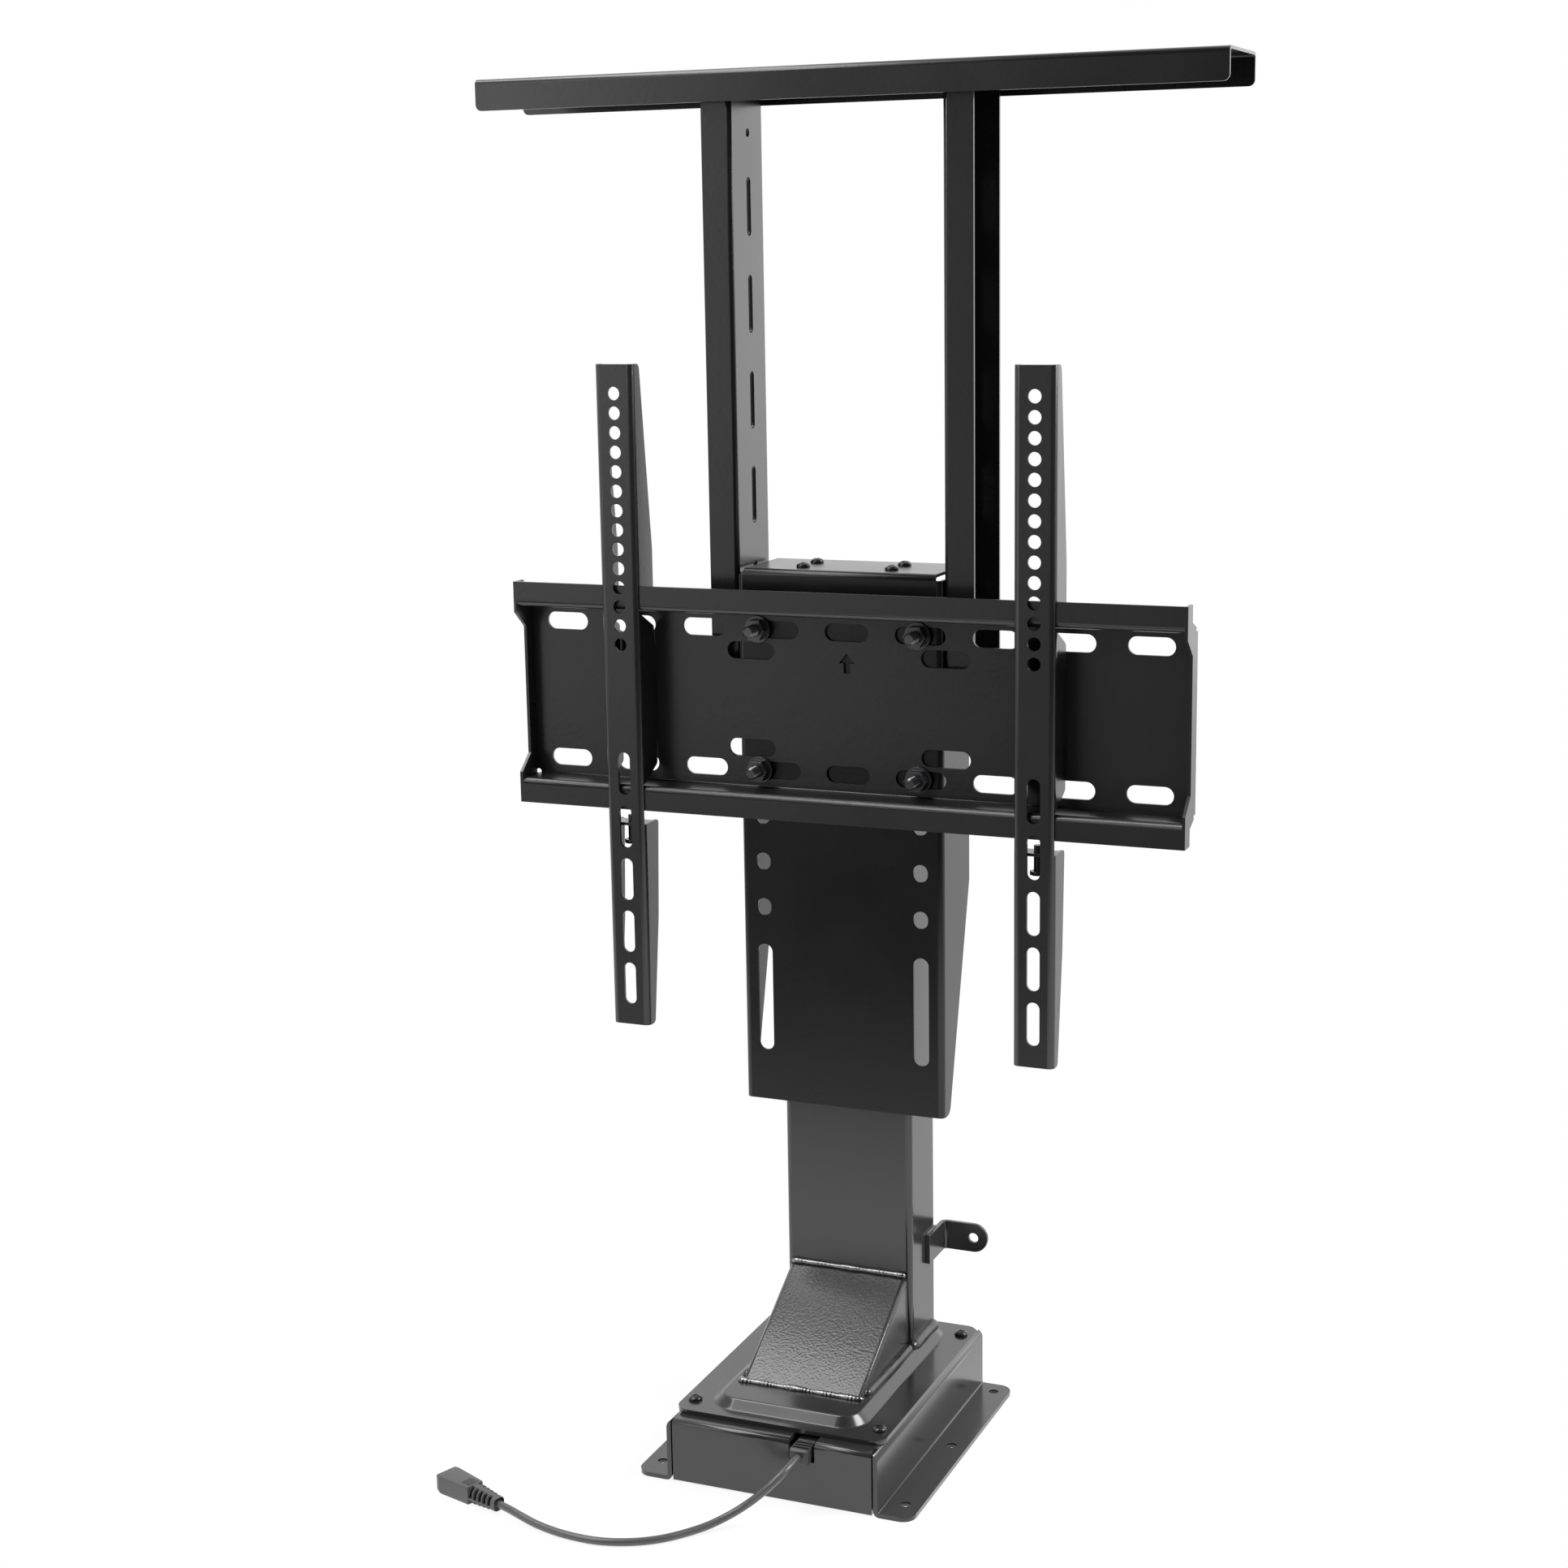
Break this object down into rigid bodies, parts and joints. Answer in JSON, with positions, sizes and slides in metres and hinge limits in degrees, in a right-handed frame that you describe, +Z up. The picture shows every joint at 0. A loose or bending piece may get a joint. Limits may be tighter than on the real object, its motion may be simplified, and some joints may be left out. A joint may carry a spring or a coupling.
{
  "type": "television lift mechanism",
  "caption": "Motorised television lift: telescopic column on a floor box carries a slotted wall plate with hooked television arms and a lid bar on two uprights.",
  "frame": {"origin": "centre of the floor bolt pattern on the underside of the base flanges", "axes": "+Z up along the column, front with the wall plate towards -Y, +X to the right as seen from the front"},
  "size_m": [0.4968, 0.3028, 0.889],
  "materials": {
    "black_coat": "black fine-texture powder coat",
    "black_screw": "black zinc plated, polished by the press",
    "steel": "bare turned steel",
    "bronze": "machined bronze",
    "cast_housing": "as cast",
    "black_plastic": "moulded, slightly matt",
    "guide_plastic": "natural acetal",
    "board_green": "solder mask",
    "component_plastic": "moulded cases",
    "lead_grey": "moulded dark grey"
  },
  "bodies": {
    "base": {"base_housing": "black_coat", "mounting_plate": "black_coat", "plate_screws": "black_screw", "outer_column": "black_coat", "gusset": "black_coat", "stay_tab": "black_coat", "column_guide": "black_plastic", "thrust_bearing": "steel", "gearbox_case": "cast_housing", "gearbox_cover": "cast_housing", "gearbox_posts": "steel", "drive_motor": "steel", "motor_end_cap": "black_plastic", "bottom_cover": "black_coat", "cover_posts": "steel", "cover_screws": "black_screw", "board_spacers": "guide_plastic", "control_board": "board_green", "board_components": "component_plastic", "cable_gland": "black_plastic", "power_lead": "lead_grey", "lead_plug": "lead_grey"},
    "drive_screw": {"lead_screw": "steel", "spindle_stop": "steel", "worm_wheel": "bronze"},
    "worm": {"worm": "steel"},
    "lift": {"inner_tube": "black_coat", "tube_cap": "black_coat", "tube_glides": "guide_plastic", "nut_block": "black_coat", "drive_nut": "bronze", "carriage": "black_coat", "roof_screws": "black_screw", "wall_plate": "black_coat", "plate_bolts": "black_screw", "plate_nuts": "black_screw", "side_bolts": "black_screw", "side_nuts": "black_screw"},
    "lid_frame": {"left_upright": "black_coat", "right_upright": "black_coat", "lid_bar": "black_coat"},
    "left_arm": {"left_arm": "black_coat", "left_lock_strip": "black_coat"},
    "right_arm": {"right_arm": "black_coat", "right_lock_strip": "black_coat"},
    "left_lock": {"left_lock_screw": "black_screw"},
    "right_lock": {"right_lock_screw": "black_screw"}
  },
  "joints": [
    {"name": "lift_slide", "type": "slide", "parent": "base", "child": "lift", "axis": [0, 0, 1], "range_m": [0, 0.4]},
    {"name": "screw_spin", "type": "hinge", "parent": "base", "child": "drive_screw", "pos_m": [0, 0.0568, 0], "axis": [0, 0, 1], "range_deg": [-5, 9005]},
    {"name": "worm_spin", "type": "hinge", "parent": "base", "child": "worm", "pos_m": [-0.0215, 0.0568, 0.0195], "axis": [0, 1, 0], "range_deg": [-5, 135005]},
    {"name": "lid_slide", "type": "slide", "parent": "lift", "child": "lid_frame", "axis": [0, 0, 1], "range_m": [-0.015, 0.015]},
    {"name": "left_arm_slide", "type": "slide", "parent": "lift", "child": "left_arm", "axis": [1, 0, 0], "range_m": [-0.062, 0.062]},
    {"name": "right_arm_slide", "type": "slide", "parent": "lift", "child": "right_arm", "axis": [1, 0, 0], "range_m": [-0.06, 0.078]},
    {"name": "left_lock_slide", "type": "slide", "parent": "left_arm", "child": "left_lock", "axis": [0, 0, 1], "range_m": [-0.001, 0.009]},
    {"name": "right_lock_slide", "type": "slide", "parent": "right_arm", "child": "right_lock", "axis": [0, 0, 1], "range_m": [-0.001, 0.009]}
  ],
  "couplings": [
    {"joint": "screw_spin", "follows": "lift_slide", "rad_per_m": 392.7},
    {"joint": "worm_spin", "follows": "lift_slide", "rad_per_m": 5890.5}
  ]
}
